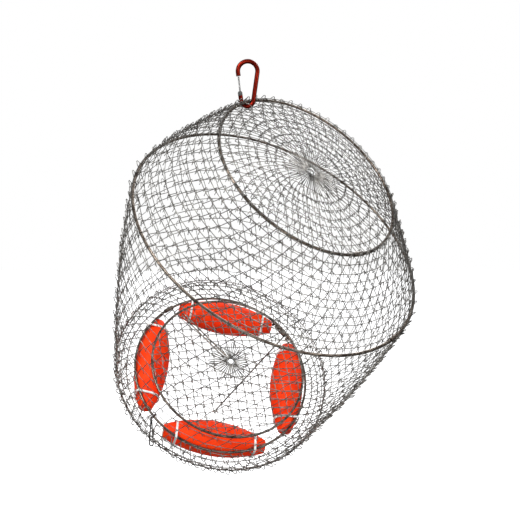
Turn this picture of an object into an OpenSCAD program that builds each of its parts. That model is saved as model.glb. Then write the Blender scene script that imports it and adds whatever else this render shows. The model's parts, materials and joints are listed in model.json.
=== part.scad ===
/* [Hoops] */
// Radius of the small base hoop that the clip holds
base_r = 112; // [100:1:125]
// Radius of the large middle hoop
middle_r = 180; // [165:1:195]
// Radius of the ring that carries the floats
float_ring_r = 105; // [102:1:110]
// Radius of the lid's own ring
lid_ring_r = 92; // [88:1:93]
// Wire diameter of the base and middle hoops
hoop_d = 3.1; // [2.5:0.1:3.6]
// Wire diameter of the float ring and the lid ring
ring_d = 2.8; // [2.4:0.1:3]

/* [Wire mesh] */
// Thickness of the knitted mesh walls
mesh_t = 1.2; // [0.8:0.1:1.6]
// How far the wall stands outside the float ring
wall_bulge = 23; // [18:1:28]
// How far the base mesh domes outwards at its middle
base_dome = 4; // [2:1:20]
// How far the lid mesh dips into the basket at its middle
lid_dip = 11; // [4:1:16]
// Height of the lid ring inside the float ring
lid_inset = 16.5; // [16:0.5:22]

/* [Floats] */
// Length of one float
float_len = 120; // [110:1:122]
// Largest diameter of one float
float_d = 40.4; // [34:0.2:40.6]
// Distance of each float's middle from the ring's centre
float_at_r = 84; // [83:0.5:85]
// Height of the floats' axes beyond the float ring
float_rise = 12; // [12:0.5:14]

/* [Clip] */
// Bar diameter of the clip's frame
bar_d = 5.2; // [4.6:0.1:5.2]
// Wire diameter of the clip's gate
gate_d = 1.8; // [1.4:0.1:1.8]

/* [Hidden] */
$fn = 64;

function unit(v) = v / norm(v);
function mix(a, b, t) = a + (b - a) * t;
function square_to(v, n) = unit(v - n * (v * n));
function side_of(n) = unit(cross(n, [0, 1, 0]));
function down_of(n) = cross(n, side_of(n));
function on_ring(c, n, r, a) = c + r * (cos(a) * side_of(n) + sin(a) * down_of(n));

// Where each hoop hangs: the base hoop from the clip, the others below it
hang_at = [1.2, 0, -44.1];
base_n = unit([-48, 65, -59]);
base_out = square_to([-61, 23, 76], base_n);
base_c = hang_at - base_r * base_out;
middle_n = unit([-40, 61, -68]);
middle_c = [38, 31, -194];
lid_n = unit([-25, 77, -59]);
float_c = [-31, 56, -359];

// How far a float's radius falls from its middle to its ends, as a share of that radius
end_taper = 0.62;

// Angles round the float ring: four floats, with the hinge, snap clip and stay between them
float_angles = [-15, 75, 165, 255];
hinge_a = -60;
clip_a = 120;
stay_a = 210;

// Ties: bands round each float's ends and the ring
tie_at = 46;
tie_float_r = 13.5;
tie_ring_r = 2.6;
tie_gap = 0.3;
tie_t = 0.9;
tie_w = 2.4;

// Mesh walls start and end just clear of the hoops
upper_start = 0.12;
upper_end = 0.95;
lower_start = 0.03;
lower_end = 0.97;
shoulder_w = 8;
wall_end_r = float_ring_r + wall_bulge;
wall_barrel = 5;
wall_sides = 72;
wall_steps = 6;
mesh_edge = 12;
gather_r = 3.7;
gather_d = 1.1;
shoulder_gap = 5;

// Sleeves: where each hoop's wire is joined, and the wrap that ties the stay to the float ring
sleeve_gap = 0.6;
ferrule_d = 5.2;
ferrule_len = 14;
base_ferrule_a = 32;
middle_ferrule_a = 20;
wrap_d = 5;
wrap_len = 12;

// Lid hinge: a bail on the float ring, turned on by the lid's eyelets and spring
lid_shift = 5;
pin_r = 98;
pin_w = -6;
pin_d = 2;
pin_len = 32;
coil_d = 6;
coil_bore = 4;
coil_len = 18;
eyelet_r = 2.7;
eyelet_d = 2.2;
eyelet_at = 12.5;
leg_d = 1.4;
leg_len = 148;
leg_aside = 31;
leg_drop = 6.3;

// Clip frame: a round top and a tighter foot joined by arms that taper towards it
taper = 8;
top_r = 11.2;
top_c = [0.8, -8.7];
foot_r = 7;
arm_len = 33.1;
foot_c = top_c + (top_r - foot_r) * [cos(taper), -sin(taper)] - arm_len * [sin(taper), cos(taper)];
nose_len = 4;
stub_len = 10;
gate_at = [-7.75, -34.9];
gate_tip = [-9.6, -16.6];
gate_half_w = 3.9;
gate_tip_half = 1.4;
gate_eye_d = 5.2;
gate_fit = 0.2;
pivot_d = 1.6;
pivot_fit = 0.1;
pivot_head_d = 3.2;

// Moves children to a frame with the given x and z directions at a point
module aimed(at, x, z) {
    y = cross(z, x);
    multmatrix([
        [x[0], y[0], z[0], at[0]],
        [x[1], y[1], z[1], at[1]],
        [x[2], y[2], z[2], at[2]],
        [0, 0, 0, 1]
    ])
        children();
}

module in_ring_frame(c, n) {
    aimed(c, side_of(n), n) children();
}

module wire_ring(r, d) {
    rotate_extrude($fn = 128) translate([r, 0]) circle(d = d, $fn = 24);
}

module rod(a, b, d) {
    v = b - a;
    translate(a)
        rotate([0, acos(v[2] / norm(v)), atan2(v[1], v[0])])
            cylinder(d = d, h = norm(v), $fn = 32);
}

// A short sleeve round a hoop of radius r, at angle a
module sleeve(r, a, outer, bore, len) {
    rotate([0, 0, a]) translate([r, 0, 0]) rotate([90, 0, 0])
        difference() {
            cylinder(d = outer, h = len, center = true);
            cylinder(d = bore, h = len + 2, center = true);
        }
}

// A shallow cone of mesh from the gather at the middle out to radius r
module mesh_cone(r, rise) {
    hole = gather_r + gather_d / 2 + 0.4;
    rotate_extrude($fn = 128)
        polygon([[hole, rise], [r, 0], [r, mesh_t], [hole, rise + mesh_t]]);
}

// A closed tube of wall between two hoops that needn't be parallel
module mesh_wall(c0, n0, r0, c1, n1, r1, from, to, barrel) {
    rings = [for (i = [0:wall_steps]) mix(from, to, i / wall_steps)];
    outer = [for (s = rings) for (j = [0:wall_sides - 1])
        wall_point(c0, n0, r0, c1, n1, r1, s, j, barrel)];
    inner = [for (s = rings) for (j = [0:wall_sides - 1])
        wall_point(c0, n0, r0 - mesh_t, c1, n1, r1 - mesh_t, s, j, barrel)];
    count = len(outer);
    side = [for (i = [0:wall_steps - 1]) for (j = [0:wall_sides - 1])
        let (a = i * wall_sides + j, b = i * wall_sides + (j + 1) % wall_sides)
        [a, b, b + wall_sides, a + wall_sides]];
    top = wall_steps * wall_sides;
    polyhedron(points = concat(outer, inner), faces = concat(
        [for (f = side) each [[f[0], f[2], f[1]], [f[0], f[3], f[2]]]],
        [for (f = side) each [[count + f[0], count + f[1], count + f[2]],
            [count + f[0], count + f[2], count + f[3]]]],
        [for (j = [0:wall_sides - 1]) let (k = (j + 1) % wall_sides)
            each [[j, k, count + j], [k, count + k, count + j]]],
        [for (j = [0:wall_sides - 1]) let (a = top + j, b = top + (j + 1) % wall_sides)
            each [[a, count + a, b], [b, count + a, count + b]]]));
}

function wall_point(c0, n0, r0, c1, n1, r1, s, j, barrel) =
    on_ring(mix(c0, c1, s), unit(mix(n0, n1, s)), mix(r0, r1, s) + barrel * sin(180 * s),
        j * 360 / wall_sides);

// Moves children to one centre of the clip's frame, turned about it
module at_clip(centre, tilt) {
    translate([centre[0], centre[1], 0]) rotate([0, 0, tilt]) children();
}

module bar_arc(r, angle) {
    rotate_extrude(angle = angle, $fn = 96)
        translate([r, 0])
            circle(d = bar_d, $fn = 32);
}

// A straight bar that starts at x and runs along +y or -y
module bar_arm(x, len, way) {
    translate([x, 0, 0])
        rotate([-90 * way, 0, 0])
            cylinder(d = bar_d, h = len);
}

module carabiner_frame() {
    color("firebrick")
        rotate([90, 0, 0])
            difference() {
                union() {
                    at_clip(top_c, -taper) {
                        bar_arc(top_r, 180 + 2 * taper);
                        bar_arm(top_r, arm_len, -1);
                    }
                    at_clip(top_c, taper) bar_arm(-top_r, nose_len, -1);
                    at_clip(foot_c, 180 + taper) bar_arc(foot_r, 180 - 2 * taper);
                    at_clip(foot_c, taper) bar_arm(-foot_r, stub_len, 1);
                }
                translate([gate_at[0], gate_at[1], -bar_d])
                    cylinder(d = pivot_d + pivot_fit, h = 2 * bar_d, $fn = 24);
            }
}

module carabiner_gate() {
    color("silver") {
        for (side = [-1, 1]) {
            foot = [gate_at[0], side * gate_half_w, gate_at[1]];
            tip = [gate_tip[0], side * gate_tip_half, gate_tip[1]];
            translate(foot) rotate([90, 0, 0])
                difference() {
                    cylinder(d = gate_eye_d, h = gate_d + 0.1, center = true);
                    cylinder(d = pivot_d + gate_fit, h = 2 * gate_d, center = true);
                }
            rod(foot + [0, 0, gate_eye_d / 2 - gate_d / 2], tip, gate_d);
            translate(tip) sphere(d = gate_d + 0.2, $fn = 48);
        }
        rod([gate_tip[0], -gate_tip_half, gate_tip[1]],
            [gate_tip[0], gate_tip_half, gate_tip[1]], gate_d);
    }
}

module gate_pivot() {
    head_at = gate_half_w + gate_d / 2 + 0.3;
    color("silver") translate([gate_at[0], 0, gate_at[1]]) rotate([90, 0, 0]) {
        cylinder(d = pivot_d, h = 2 * head_at + 1, center = true, $fn = 24);
        for (side = [0, 1])
            mirror([0, 0, side])
                translate([0, 0, head_at])
                    cylinder(d = pivot_head_d, h = 0.8, $fn = 24);
    }
}

module base_hoop() {
    color("dimgray") in_ring_frame(base_c, base_n) wire_ring(base_r, hoop_d);
}

module base_hoop_ferrule() {
    color("gray") in_ring_frame(base_c, base_n)
        sleeve(base_r, base_ferrule_a, ferrule_d, hoop_d + sleeve_gap, ferrule_len);
}

module base_mesh() {
    color("darkgray") in_ring_frame(base_c, base_n) mesh_cone(base_r - mesh_edge, -base_dome);
}

module base_gather_ring() {
    color("silver") in_ring_frame(base_c, base_n)
        translate([0, 0, -base_dome + mesh_t / 2]) wire_ring(gather_r, gather_d);
}

module upper_wall() {
    color("darkgray")
        mesh_wall(base_c, base_n, base_r, middle_c, middle_n, middle_r, upper_start, upper_end, 0);
}

module middle_hoop() {
    color("dimgray") in_ring_frame(middle_c, middle_n) wire_ring(middle_r, hoop_d);
}

module middle_hoop_ferrule() {
    color("gray") in_ring_frame(middle_c, middle_n)
        sleeve(middle_r, middle_ferrule_a, ferrule_d, hoop_d + sleeve_gap, ferrule_len);
}

module lower_wall() {
    color("darkgray")
        mesh_wall(middle_c, middle_n, middle_r, float_c - shoulder_w * lid_n, lid_n, wall_end_r,
            lower_start, lower_end, wall_barrel);
}

module shoulder_mesh() {
    edge = float_ring_r + shoulder_gap;
    color("darkgray") in_ring_frame(float_c, lid_n)
        rotate_extrude($fn = 128)
            polygon([[edge, 0], [wall_end_r, -shoulder_w], [wall_end_r, -shoulder_w + mesh_t],
                [mix(edge, wall_end_r, 0.5), 0.5], [edge, mesh_t]]);
}

module float_ring() {
    color("dimgray") in_ring_frame(float_c, lid_n) wire_ring(float_ring_r, ring_d);
}

// Moves children to one float's own frame: x outwards, y beyond the ring, z along the float
module at_float(a) {
    in_ring_frame(float_c, lid_n) rotate([0, 0, a]) translate([float_at_r, 0, float_rise])
        rotate([90, 0, 0]) children();
}

// A foam spindle: a circular arc turned about its chord, with blunt ends
module foam_float(a) {
    sag = end_taper * float_d / 2;
    arc_r = (pow(float_len / 2, 2) + sag * sag) / (2 * sag);
    color("orangered") at_float(a)
        rotate_extrude($fn = 64) difference() {
            intersection() {
                translate([float_d / 2 - arc_r, 0]) circle(r = arc_r, $fn = 160);
                translate([0, -float_len / 2]) square([float_d, float_len]);
            }
            translate([-2 * arc_r, -arc_r]) square([2 * arc_r, 2 * arc_r]);
        }
}

module float_1() {
    foam_float(float_angles[0]);
}

module float_2() {
    foam_float(float_angles[1]);
}

module float_3() {
    foam_float(float_angles[2]);
}

module float_4() {
    foam_float(float_angles[3]);
}

// One band round a float's end and the ring beside it
module tie_outline(grow) {
    ring_x = sqrt(float_ring_r * float_ring_r - tie_at * tie_at) - float_at_r;
    hull() {
        circle(r = tie_float_r + grow, $fn = 32);
        translate([ring_x, -float_rise]) circle(r = tie_ring_r + grow, $fn = 32);
    }
}

module float_ties() {
    color("white")
        for (a = float_angles)
            at_float(a)
                for (end = [0, 1])
                    mirror([0, 0, end])
                        translate([0, 0, tie_at])
                            linear_extrude(tie_w, center = true)
                                difference() {
                                    tie_outline(tie_gap + tie_t);
                                    tie_outline(tie_gap);
                                }
}

module ring_wrap() {
    color("gray") in_ring_frame(float_c, lid_n)
        sleeve(float_ring_r, stay_a, wrap_d, ring_d + sleeve_gap, wrap_len);
}

// Moves children to the hinge pin's frame: x outwards, z along the pin
module at_pin() {
    in_ring_frame(float_c, lid_n) rotate([0, 0, hinge_a]) translate([pin_r, 0, pin_w])
        rotate([90, 0, 0]) children();
}

module lid_hinge_bail() {
    // The legs stop just short of the float ring that they are bound to
    ring_dx = sqrt(pow(float_ring_r, 2) - pow(pin_len / 2, 2)) - pin_r - 1.8;
    color("gray") at_pin() {
        rod([0, 0, -pin_len / 2], [0, 0, pin_len / 2], pin_d);
        for (end = [-1, 1]) {
            rod([0, 0, end * pin_len / 2], [ring_dx, -pin_w - 1.6, end * pin_len / 2], pin_d);
            translate([0, 0, end * pin_len / 2]) sphere(d = pin_d, $fn = 24);
        }
    }
}

module in_lid_frame() {
    in_ring_frame(float_c + lid_shift * side_of(lid_n) - lid_inset * lid_n, lid_n) children();
}

module lid_ring() {
    color("dimgray") in_lid_frame() wire_ring(lid_ring_r, ring_d);
}

module lid_eyelets() {
    // The eyelets turn on the bail and reach down to the lid ring
    drop = lid_inset + pin_w - ring_d / 2 - 0.3;
    reach = pin_r - lid_ring_r - lid_shift * cos(hinge_a) + 0.4;
    color("gray") at_pin()
        for (end = [-1, 1])
            translate([0, 0, end * eyelet_at]) {
                rotate_extrude($fn = 32) translate([eyelet_r, 0]) circle(d = eyelet_d, $fn = 16);
                rod([-0.6, -eyelet_r, 0], [-reach, -drop, 0], eyelet_d);
            }
}

module lid_mesh() {
    color("darkgray") in_lid_frame() translate([0, 0, -mesh_t / 2])
        mesh_cone(lid_ring_r - ring_d / 2 - 0.6, -lid_dip);
}

module lid_gather_ring() {
    color("silver") in_lid_frame()
        translate([0, 0, -lid_dip]) wire_ring(gather_r, gather_d);
}

module lid_spring() {
    // The long leg lies across the lid, just above its mesh
    leg_at = 1 - coil_len / 2;
    color("gray") at_pin() {
        difference() {
            cylinder(d = coil_d, h = coil_len, center = true);
            cylinder(d = coil_bore, h = coil_len + 2, center = true);
        }
        rod([-coil_d / 2 + 0.5, 0, leg_at], [-leg_len, -leg_drop, leg_at - leg_aside], leg_d);
    }
}

module lid_stay() {
    // A hairpin of two wires from the lid's edge to the gather, with a round end
    half = 1.8;
    wire = 1.6;
    outer_r = lid_ring_r - ring_d / 2 - 2;
    inner_r = 10;
    rise = 2.2;
    color("gray") in_lid_frame() rotate([0, 0, stay_a]) {
        for (side = [-1, 1])
            rod([inner_r, side * half, rise + 1.2 - lid_dip],
                [outer_r - half, side * half, rise], wire);
        translate([outer_r - half, 0, rise]) rotate([0, 0, -90])
            rotate_extrude(angle = 180, $fn = 32) translate([half, 0]) circle(d = wire, $fn = 16);
    }
}

// A bent-wire clip: its eye is round the float ring and its body hangs straight down
module snap_clip() {
    wire = 1.6;
    eye_r = 3.4;
    eye_drop = 1;
    drop = 31;
    half = 2.6;
    hang = on_ring(float_c, lid_n, float_ring_r, clip_a);
    along = cross(lid_n, unit(hang - float_c));
    eye_down = square_to([0, 0, -1], along);
    across = unit([along[0], along[1], 0]);
    body = hang + (eye_drop + eye_r) * eye_down;
    color("silver") {
        aimed(hang + eye_drop * eye_down, eye_down, along)
            rotate_extrude($fn = 48) translate([eye_r, 0]) circle(d = wire, $fn = 24);
        aimed(body, across, [0, 0, 1]) {
            for (side = [-1, 1])
                rod([side * 0.5, 0, 0], [side * half, 0, half - drop], wire);
            translate([0, 0, half - drop]) rotate([90, 0, 0]) rotate([0, 0, 180])
                rotate_extrude(angle = 180, $fn = 48) translate([half, 0]) circle(d = wire, $fn = 24);
        }
    }
}

carabiner_frame();
carabiner_gate();
gate_pivot();
base_hoop();
base_hoop_ferrule();
base_mesh();
base_gather_ring();
upper_wall();
middle_hoop();
middle_hoop_ferrule();
lower_wall();
shoulder_mesh();
float_ring();
float_1();
float_2();
float_3();
float_4();
float_ties();
ring_wrap();
lid_hinge_bail();
lid_ring();
lid_eyelets();
lid_mesh();
lid_gather_ring();
lid_spring();
lid_stay();
snap_clip();
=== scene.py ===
import math
import bpy
import numpy as np
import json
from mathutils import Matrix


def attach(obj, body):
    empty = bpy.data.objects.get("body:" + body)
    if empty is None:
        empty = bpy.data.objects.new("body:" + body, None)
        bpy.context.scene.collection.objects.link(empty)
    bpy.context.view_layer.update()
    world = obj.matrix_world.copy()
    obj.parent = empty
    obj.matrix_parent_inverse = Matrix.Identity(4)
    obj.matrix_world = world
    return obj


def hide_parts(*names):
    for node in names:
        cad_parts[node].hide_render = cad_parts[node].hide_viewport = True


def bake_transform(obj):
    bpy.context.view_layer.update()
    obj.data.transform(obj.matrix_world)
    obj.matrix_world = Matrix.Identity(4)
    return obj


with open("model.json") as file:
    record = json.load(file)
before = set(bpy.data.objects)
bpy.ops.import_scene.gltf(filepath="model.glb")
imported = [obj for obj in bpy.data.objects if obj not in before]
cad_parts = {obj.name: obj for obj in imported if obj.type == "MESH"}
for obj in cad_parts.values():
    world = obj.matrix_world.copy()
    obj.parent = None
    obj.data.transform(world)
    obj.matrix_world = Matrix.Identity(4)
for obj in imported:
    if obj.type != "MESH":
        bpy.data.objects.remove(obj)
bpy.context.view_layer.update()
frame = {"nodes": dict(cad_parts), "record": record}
rng = np.random.default_rng(7)
MM = 0.001

# ---- The basket's layout, in millimetres and degrees, as part.scad has it ----
BASE_R, MIDDLE_R, FLOAT_RING_R, LID_R = 112.0, 180.0, 105.0, 92.0
HOOP_D = 3.1
WALL_END_R, SHOULDER_W = 128.0, 8.0
BASE_DOME, LID_DIP, LID_INSET, LID_SHIFT = 4.0, 11.0, 16.5, 5.0
HINGE_A, PIN_R, PIN_W = -60.0, 98.0, -6.0
LEG_LEN, LEG_DROP, LEG_ASIDE = 148.0, 6.3, 31.0

# ---- The knit: millimetres, degrees, and counts of stitches, courses and loops ----
WIRE_D, SHOULDER_WIRE_D = 0.9, 1.15
CELLS_ROUND = 56
UPPER_ROWS, LOWER_ROWS, SHOULDER_ROWS, BASE_ROWS = 12, 15, 5, 7
BASE_STAR, BASE_LOOPS = 34, 42
LID_STAR, LID_LOOPS = 24, 34
LID_CELL, LID_TURN = 10, -30
# the hook of a leg: mm across and down from its wire, and how far out in shares of its curl
PEAK = ((-2.9, 3.2, 0.1), (-2.2, -0.7, 0.7), (-0.7, -2.5, 1.0), (0.9, -2.3, 0.9), (2.3, 0.3, 0.3))
# half of a star's loop: share of its reach, and mm to the side
LOOP_SIDE = ((0.18, 0.5), (0.5, 0.9), (0.85, 1.3), (1.0, 0.7))


def unit(v):
    v = np.asarray(v, float)
    return v / np.linalg.norm(v, axis=-1, keepdims=True)


def side_of(n):
    return unit(np.cross(n, [0.0, 1.0, 0.0]))


def down_of(n):
    return np.cross(n, side_of(n))


HANG_AT = np.array([1.2, 0.0, -44.1])
BASE_N = unit([-48, 65, -59])
BASE_OUT = np.array([-61.0, 23.0, 76.0])
BASE_OUT = unit(BASE_OUT - BASE_N * (BASE_OUT @ BASE_N))
BASE_C = HANG_AT - BASE_R * BASE_OUT
MIDDLE_N = unit([-40, 61, -68])
MIDDLE_C = np.array([38.0, 31.0, -194.0])
LID_N = unit([-25, 77, -59])
FLOAT_C = np.array([-31.0, 56.0, -359.0])
LID_C = FLOAT_C + LID_SHIFT * side_of(LID_N) - LID_INSET * LID_N


# ---- Mesh building ----
def add_piece(name, points, faces, body, slot, material):
    """A mesh from points in millimetres and quads, riding on one body (or on none, for a blend)."""
    mesh = bpy.data.meshes.new(name)
    points = np.asarray(points, float).reshape(-1, 3) * MM
    faces = np.asarray(faces, np.int32).reshape(-1, 4)
    mesh.vertices.add(len(points))
    mesh.vertices.foreach_set("co", points.ravel())
    mesh.loops.add(faces.size)
    mesh.loops.foreach_set("vertex_index", faces.ravel())
    mesh.polygons.add(len(faces))
    mesh.polygons.foreach_set("loop_start", np.arange(0, faces.size, 4, dtype=np.int32))
    mesh.polygons.foreach_set("use_smooth", np.ones(len(faces), bool))
    mesh.update(calc_edges=True)
    mesh.validate()
    obj = bpy.data.objects.new(name, mesh)
    bpy.context.scene.collection.objects.link(obj)
    mesh.materials.append(material)
    if body:
        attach(obj, body)
    return obj


def tubes(paths, normals, radius, sides=5):
    """Round tubes along many paths at once; paths and normals are (wires, points, 3)."""
    paths = np.asarray(paths, float)
    wires, count, _ = paths.shape
    tangent = unit(np.gradient(paths, axis=1))
    normals = normals - tangent * np.sum(normals * tangent, axis=2, keepdims=True)
    normals = unit(normals)
    across = np.cross(tangent, normals)
    turn = np.arange(sides) * 2 * math.pi / sides
    ring = (np.cos(turn)[:, None] * normals[:, :, None, :]
            + np.sin(turn)[:, None] * across[:, :, None, :])
    points = paths[:, :, None, :] + radius * ring
    index = np.arange(wires * count * sides).reshape(wires, count, sides)
    a = index[:, :-1, :]
    b = np.roll(a, -1, axis=2)
    d = index[:, 1:, :]
    c = np.roll(d, -1, axis=2)
    faces = np.stack([a, b, c, d], axis=-1).reshape(-1, 4)
    return points.reshape(-1, 3), faces


def join(parts):
    """Several (points, faces) pairs as one."""
    points, faces, start = [], [], 0
    for p, f in parts:
        points.append(p)
        faces.append(f + start)
        start += len(p)
    return np.concatenate(points), np.concatenate(faces)


def hooks(a, b, normal, size):
    """The lattice's legs: each hooks over wire a with a short free end, and curls round wire b."""
    along = unit(b - a)
    normal = unit(normal - along * np.sum(normal * along, axis=-1, keepdims=True))
    side = np.cross(along, normal)
    count = (len(a), 1)
    end, tip = rng.uniform(2.0, 4.2, count), rng.uniform(0.8, 2.4, count)
    bow = side * rng.normal(0, 0.3, count)

    def at(point, down, across, out):
        return point + size * (down * along + across * side + out * normal)

    path = np.stack([
        at(a, end, 1.25, tip), at(a, 0.9, 1.2, 1.2), at(a, -0.9, 0.85, 0.8), at(a, -1.35, 0.1, 0.1),
        at(a, -0.8, -0.4, -0.7), at(a, 1.0, -0.3, -0.9), (a + b) / 2 + bow, at(b, -1.0, 0.2, 0.9),
        at(b, 0.5, 0.1, 0.9), at(b, 0.9, 0.0, -0.3), at(b, -0.3, -0.2, -1.0)], axis=1)
    return tubes(path, np.repeat(side[:, None, :], path.shape[1], axis=1), WIRE_D / 2)


def tube_knit(surface, rows, first=0, wire=WIRE_D):
    """Knit on a tube: each course is a ring of wire, with legs that hook over it and run to the next."""
    turn = 360.0 / CELLS_ROUND
    i, j = np.meshgrid(np.arange(rows), np.arange(CELLS_ROUND), indexing="ij")

    def along(s, angle):
        point = surface(s, angle)
        down = unit(surface(s + 0.01, angle) - surface(s - 0.01, angle))
        side = unit(surface(s, angle + 0.3) - surface(s, angle - 0.3))
        return point, down, side, unit(np.cross(side, down))

    def closed(rows_of_points):
        return np.concatenate([rows_of_points, rows_of_points[:, :1]], axis=1)

    angle = (j + 0.5 * (i + first)) * turn + rng.normal(0, 0.03, i.shape) * turn
    s = (i + rng.normal(0, 0.05, i.shape) * (i > 0)) / rows
    point, down, side, out = along(s, angle)
    low, low_down, _, low_out = along(s + 1.0 / rows, angle + 0.5 * turn)
    curl = rng.uniform(1.4, 4.4, i.shape + (1,))
    pitch = np.linalg.norm(surface(s, angle + turn) - point, axis=-1, keepdims=True)
    # where the stitches are drawn together their hooks are smaller
    size = np.clip(pitch / 11, 0.4, 1)
    legs = [point + size * (across * side + height * down + lift * curl * out)
            for across, height, lift in PEAK]
    legs += [low - 0.9 * low_down - 0.4 * low_out, low + 0.9 * low_down - 0.6 * low_out]
    legs = np.stack(legs, axis=2).reshape(-1, len(PEAK) + 2, 3)
    normal = np.repeat(out.reshape(-1, 1, 3), legs.shape[1], axis=1)
    return join([tubes(legs, normal, wire / 2, sides=4),
                 tubes(closed(point), closed(out), wire / 2, sides=4)])


def hoop_surface(c0, n0, r0, c1, n1, r1, barrel):
    """Points on the wall between two hoops that aren't parallel."""
    def surface(s, angle):
        s = np.asarray(s, float)[..., None]
        n = unit(n0 + (n1 - n0) * s)
        a = np.radians(angle)[..., None]
        r = r0 + (r1 - r0) * s + barrel * np.sin(math.pi * s)
        return c0 + (c1 - c0) * s + r * (np.cos(a) * side_of(n) + np.sin(a) * down_of(n))
    return surface


def shoulder_surface(s, angle):
    """Points where the wall turns in over its fullest place to the float ring."""
    s = np.asarray(s, float)[..., None]
    a = np.radians(angle)[..., None]
    turn_in = (WALL_END_R - FLOAT_RING_R - 1.2) * np.clip(s, 0, None) ** 1.8
    r = WALL_END_R + 2.5 * np.sin(math.pi * np.clip(s, 0, 1)) - turn_in
    w = -SHOULDER_W + 12.0 * np.sin(math.pi * 0.62 * s)
    return FLOAT_C + w * LID_N + r * (np.cos(a) * side_of(LID_N) + np.sin(a) * down_of(LID_N))


def dome(centre, n, radius, rise, turn, off):
    """Maps x, y across a hoop to its shallow dome, which is rise along n at the middle and off at the rim."""
    x_axis, y_axis = side_of(n), down_of(n)
    ca, sa = math.cos(math.radians(turn)), math.sin(math.radians(turn))

    def place(x, y):
        share = np.clip(np.hypot(x, y) / radius, 0, 1)
        h = rise * (1 - share) ** 1.25 + off * share ** 0.5
        u, v = ca * x - sa * y, sa * x + ca * y
        return centre + h[..., None] * n + u[..., None] * x_axis + v[..., None] * y_axis
    return place


def star(place, n, loops, reach):
    """Narrow loops that run out from the gather ring."""
    a = np.radians(np.arange(loops) * 360 / loops + rng.normal(0, 1.5, loops))
    out = reach * rng.uniform(0.8, 1.2, loops)
    rays = []
    there = [(share, -wide) for share, wide in LOOP_SIDE]
    for share, wide in there + list(reversed(LOOP_SIDE)):
        r = np.maximum(out * share, 4.5)
        rays.append(place(r * np.cos(a) - wide * np.sin(a), r * np.sin(a) + wide * np.cos(a)))
    path = np.stack(rays, axis=1)
    return tubes(path, np.broadcast_to(n, path.shape), WIRE_D / 2)


def lattice(place, n, radius, pitch, hole):
    """Knit of nearly square cells across a hoop, open round the middle."""
    count = int(radius / pitch) + 1
    kx, ky = np.meshgrid(np.arange(-count, count + 1), np.arange(-count, count + 1), indexing="ij")
    gx = kx * pitch + rng.normal(0, 0.45, kx.shape)
    gy = ky * pitch + rng.normal(0, 0.35, ky.shape)
    reach = np.hypot(gx, gy)
    # a wire that would pass the hoop stops on it
    solid = (reach < radius + pitch * 0.7) & (reach > hole)
    pull = np.minimum(1, radius / np.maximum(reach, 1e-6))
    points = place(gx * pull, gy * pull)
    wires = solid[:-1] & solid[1:]
    a, b = points[:-1][wires], points[1:][wires]
    path = np.stack([a, (a + b) / 2 + rng.normal(0, 0.2, a.shape), b], axis=1)
    legs = solid[:, :-1] & solid[:, 1:]
    a, b = points[:, :-1][legs], points[:, 1:][legs]
    return join([tubes(path, np.broadcast_to(n, path.shape), WIRE_D / 2),
                 hooks(a, b, np.broadcast_to(n, a.shape), 0.8)])


# ---- Materials ----
def new_material(name):
    mat = bpy.data.materials.new(name)
    mat.use_nodes = True
    return mat, mat.node_tree, mat.node_tree.nodes["Principled BSDF"]


def object_noise(tree, scale, detail, rough=0.6):
    coord = tree.nodes.new("ShaderNodeTexCoord")
    noise = tree.nodes.new("ShaderNodeTexNoise")
    noise.inputs["Scale"].default_value = scale
    noise.inputs["Detail"].default_value = detail
    noise.inputs["Roughness"].default_value = rough
    tree.links.new(coord.outputs["Object"], noise.inputs["Vector"])
    return noise.outputs["Fac"]


def ramp(tree, fac, low, high, at=(0.35, 0.65)):
    node = tree.nodes.new("ShaderNodeValToRGB")
    node.color_ramp.elements[0].position, node.color_ramp.elements[1].position = at
    node.color_ramp.elements[0].color = (*low, 1)
    node.color_ramp.elements[1].color = (*high, 1)
    tree.links.new(fac, node.inputs["Fac"])
    return node.outputs["Color"]


def spread(tree, fac, low, high):
    node = tree.nodes.new("ShaderNodeMapRange")
    node.inputs["To Min"].default_value = low
    node.inputs["To Max"].default_value = high
    tree.links.new(fac, node.inputs["Value"])
    return node.outputs["Result"]


def bump(tree, shader, fac, strength, distance):
    node = tree.nodes.new("ShaderNodeBump")
    node.inputs["Strength"].default_value = strength
    node.inputs["Distance"].default_value = distance
    tree.links.new(fac, node.inputs["Height"])
    tree.links.new(node.outputs["Normal"], shader.inputs["Normal"])


def metal(name, low, high, rough, scale, depth, metallic=1.0):
    """Metal with patches of colour and polish, and fine marks along it."""
    mat, tree, shader = new_material(name)
    colour = ramp(tree, object_noise(tree, scale, 5), low, high)
    tree.links.new(colour, shader.inputs["Base Color"])
    polish = spread(tree, object_noise(tree, scale * 4, 3), rough[0], rough[1])
    tree.links.new(polish, shader.inputs["Roughness"])
    bump(tree, shader, object_noise(tree, scale * 12, 4), 0.35, depth)
    shader.inputs["Metallic"].default_value = metallic
    return mat


def foam():
    """Skinned foam: fine cells, soft dents and a slightly mottled orange-red."""
    mat, tree, shader = new_material("float_foam")
    colour = ramp(tree, object_noise(tree, 45, 6), (0.98, 0.03, 0.001), (1.0, 0.06, 0.004), (0.3, 0.7))
    tree.links.new(colour, shader.inputs["Base Color"])
    tree.links.new(spread(tree, object_noise(tree, 220, 4), 0.45, 0.7), shader.inputs["Roughness"])
    bump(tree, shader, object_noise(tree, 420, 6, 0.75), 0.4, 0.0009)
    shader.inputs["Specular IOR Level"].default_value = 0.12
    return mat


def cord_white():
    mat, tree, shader = new_material("tie_white")
    colour = ramp(tree, object_noise(tree, 300, 4), (0.72, 0.72, 0.7), (0.9, 0.9, 0.88))
    tree.links.new(colour, shader.inputs["Base Color"])
    shader.inputs["Roughness"].default_value = 0.6
    bump(tree, shader, object_noise(tree, 1500, 3), 0.5, 0.0003)
    return mat


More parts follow.
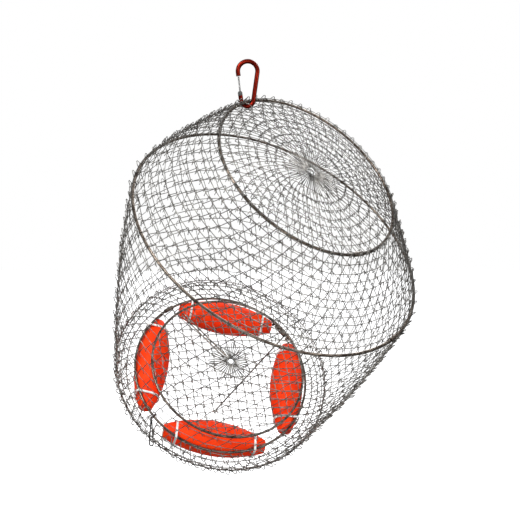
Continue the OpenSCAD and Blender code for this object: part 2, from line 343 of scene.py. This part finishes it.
MAT = {
    "clip_red": metal("clip_red", (0.1, 0.006, 0.003), (0.17, 0.011, 0.005), (0.25, 0.4), 60, 0.0002),
    "bright_wire": metal("bright_wire", (0.05, 0.05, 0.049), (0.2, 0.198, 0.193), (0.2, 0.4), 150, 0.0002),
    "hoop_steel": metal("hoop_steel", (0.05, 0.036, 0.028), (0.24, 0.2, 0.165), (0.18, 0.4), 90, 0.0003),
    "mesh_wire": metal("mesh_wire", (0.055, 0.05, 0.043), (0.34, 0.325, 0.3), (0.24, 0.42), 160, 0.0002),
    "float_foam": foam(),
    "tie_white": cord_white(),
}

slot_of = {p["node"]: p["material_slot"] for p in frame["record"]["subparts"]}
for node_name, obj in frame["nodes"].items():
    obj.data.materials.clear()
    obj.data.materials.append(MAT[slot_of[node_name]])

# ---- The knitted walls ----
OVER = HOOP_D / 2 + WIRE_D / 2 + 0.2
WIRE = MAT["mesh_wire"]

upper_parts = tube_knit(
    hoop_surface(BASE_C, BASE_N, BASE_R + OVER, MIDDLE_C, MIDDLE_N, MIDDLE_R + OVER, 2), UPPER_ROWS)
upper = add_piece("knit_upper_wall", *upper_parts, None, "mesh_wire", WIRE)
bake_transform(upper)
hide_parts("upper_wall")

lower_end = FLOAT_C - SHOULDER_W * LID_N
lower_parts = tube_knit(
    hoop_surface(MIDDLE_C, MIDDLE_N, MIDDLE_R + OVER, lower_end, LID_N, WALL_END_R, 5),
    LOWER_ROWS, first=UPPER_ROWS)
lower = add_piece("knit_lower_wall", *lower_parts, None, "mesh_wire", WIRE)
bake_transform(lower)
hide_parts("lower_wall")

shoulder_parts = tube_knit(
    shoulder_surface, SHOULDER_ROWS, first=UPPER_ROWS + LOWER_ROWS, wire=SHOULDER_WIRE_D)
shoulder = add_piece("knit_shoulder", *shoulder_parts, "neck", "mesh_wire", WIRE)
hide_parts("shoulder_mesh")

# ---- The base: the wall's knit gathered in, course by course, to a star of loops ----
base_place = dome(BASE_C, BASE_N, BASE_R + 1, rise=-BASE_DOME, turn=0, off=-2.6)


def base_surface(s, angle):
    """Points on the base, from its hoop inwards to where the star starts."""
    r = BASE_R + 1 - (BASE_R + 1 - BASE_STAR) * np.asarray(s, float)
    return base_place(r * np.cos(np.radians(angle)), r * np.sin(np.radians(angle)))


base_parts = join([
    tube_knit(base_surface, BASE_ROWS), star(base_place, BASE_N, BASE_LOOPS, BASE_STAR)])
base_knit = add_piece("knit_base", *base_parts, "base", "mesh_wire", WIRE)
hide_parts("base_mesh")

# ---- The lid: a lattice with a star at its middle ----
lid_place = dome(LID_C, LID_N, LID_R, rise=-LID_DIP, turn=LID_TURN, off=-2.2)
lid_parts = join([
    lattice(lid_place, LID_N, LID_R, LID_CELL, 0.62 * LID_STAR),
    star(lid_place, LID_N, LID_LOOPS, LID_STAR)])
lid_knit = add_piece("knit_lid", *lid_parts, "lid", "mesh_wire", WIRE)
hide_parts("lid_mesh")


# ---- The lid's torsion spring ----
def pin_frame():
    """The hinge pin's centre, and the directions outwards, up out of the basket and along the pin."""
    a = math.radians(HINGE_A)
    out = math.cos(a) * side_of(LID_N) + math.sin(a) * down_of(LID_N)
    return FLOAT_C + PIN_R * out + PIN_W * LID_N, out, LID_N, np.cross(out, LID_N)


SPRING_WIRE_R = 0.85
turns, steps_per_turn, coil_r, coil_len = 12, 14, 2.35, 17.0
centre, out, up, along = pin_frame()
t = np.linspace(0, 1, turns * steps_per_turn + 1)
phi = t * turns * 2 * math.pi + math.pi
round_pin = np.outer(np.cos(phi), out) + np.outer(np.sin(phi), up)
helix = centre + coil_r * round_pin + np.outer((0.5 - t) * coil_len, along)
leg_to = centre - LEG_LEN * out - LEG_DROP * up - (coil_len / 2 + LEG_ASIDE) * along
leg = helix[-1] + np.outer(np.linspace(0.03, 1, 12), leg_to - helix[-1])
route = np.concatenate([helix, leg])[None]
reference = np.concatenate([round_pin, np.broadcast_to(up, leg.shape)])[None]
spring_parts = tubes(route, reference, SPRING_WIRE_R, sides=8)
spring = add_piece("lid_torsion_spring", *spring_parts, "lid", "hoop_steel", MAT["hoop_steel"])
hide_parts("lid_spring")


# ---- Stage, lights and camera ----
def soft_light(name, place, target, size, power):
    """A round area light that points at the target; metres and watts."""
    data = bpy.data.lights.new(name, "AREA")
    data.shape = "DISK"
    data.size = size
    data.energy = power
    obj = bpy.data.objects.new(name, data)
    bpy.context.scene.collection.objects.link(obj)
    obj.location = place
    aim = np.array(target) - np.array(place)
    tilt = math.acos(-aim[2] / np.linalg.norm(aim))
    obj.rotation_euler = (tilt, 0, math.atan2(aim[1], aim[0]) - math.pi / 2)


def pale_floor():
    """A wide pale floor, well below the hanging basket; sizes in metres."""
    bpy.ops.mesh.primitive_plane_add(size=80, location=(0, 0, -0.75))
    floor = bpy.context.object
    floor.name = "floor"
    mat, tree, shader = new_material("floor")
    colour = ramp(tree, object_noise(tree, 0.7, 2), (0.94, 0.94, 0.94), (0.96, 0.96, 0.96))
    tree.links.new(colour, shader.inputs["Base Color"])
    shader.inputs["Roughness"].default_value = 0.9
    shader.inputs["Specular IOR Level"].default_value = 0.0
    shader.inputs["Emission Color"].default_value = (1, 1, 1, 1)
    shader.inputs["Emission Strength"].default_value = 0.62
    floor.data.materials.append(mat)
    floor.visible_diffuse = False
    floor.visible_glossy = False


def studio_world():
    """White behind the object; a dimmer room, lighter overhead, for what the metal reflects."""
    world = bpy.data.worlds.new("studio")
    bpy.context.scene.world = world
    world.use_nodes = True
    tree = world.node_tree
    seen = tree.nodes["Background"]
    seen.inputs["Color"].default_value = (1, 1, 1, 1)
    room = tree.nodes.new("ShaderNodeBackground")
    coord = tree.nodes.new("ShaderNodeTexCoord")
    split = tree.nodes.new("ShaderNodeSeparateXYZ")
    tree.links.new(coord.outputs["Generated"], split.inputs["Vector"])
    height = spread(tree, split.outputs["Z"], 0.5, 1.0)
    shade = ramp(tree, height, (0.1, 0.1, 0.1), (0.85, 0.86, 0.88), (0.35, 0.9))
    tree.links.new(shade, room.inputs["Color"])
    ray = tree.nodes.new("ShaderNodeLightPath")
    mix = tree.nodes.new("ShaderNodeMixShader")
    tree.links.new(ray.outputs["Is Camera Ray"], mix.inputs["Fac"])
    tree.links.new(room.outputs["Background"], mix.inputs[1])
    tree.links.new(seen.outputs["Background"], mix.inputs[2])
    tree.links.new(mix.outputs["Shader"], tree.nodes["World Output"].inputs["Surface"])


pale_floor()
studio_world()
MIDDLE = (0, 0.02, -0.23)
soft_light("key", (-1.0, -1.5, 1.2), MIDDLE, 0.7, 42)
soft_light("fill", (1.6, -1.3, 0.3), MIDDLE, 0.9, 16)
soft_light("low", (0.3, -1.7, -0.5), MIDDLE, 0.7, 10)
soft_light("rim", (0.8, 1.8, 1.2), MIDDLE, 1.0, 26)

camera_data = bpy.data.cameras.new("camera")
camera_data.lens = 59.2
camera_data.sensor_width = 36
camera = bpy.data.objects.new("camera", camera_data)
camera.location = (0.0149, -0.978, -0.2248)
camera.rotation_euler = (math.pi / 2, 0, 0)
bpy.context.scene.collection.objects.link(camera)
bpy.context.scene.camera = camera
bpy.context.scene.view_settings.view_transform = "Standard"
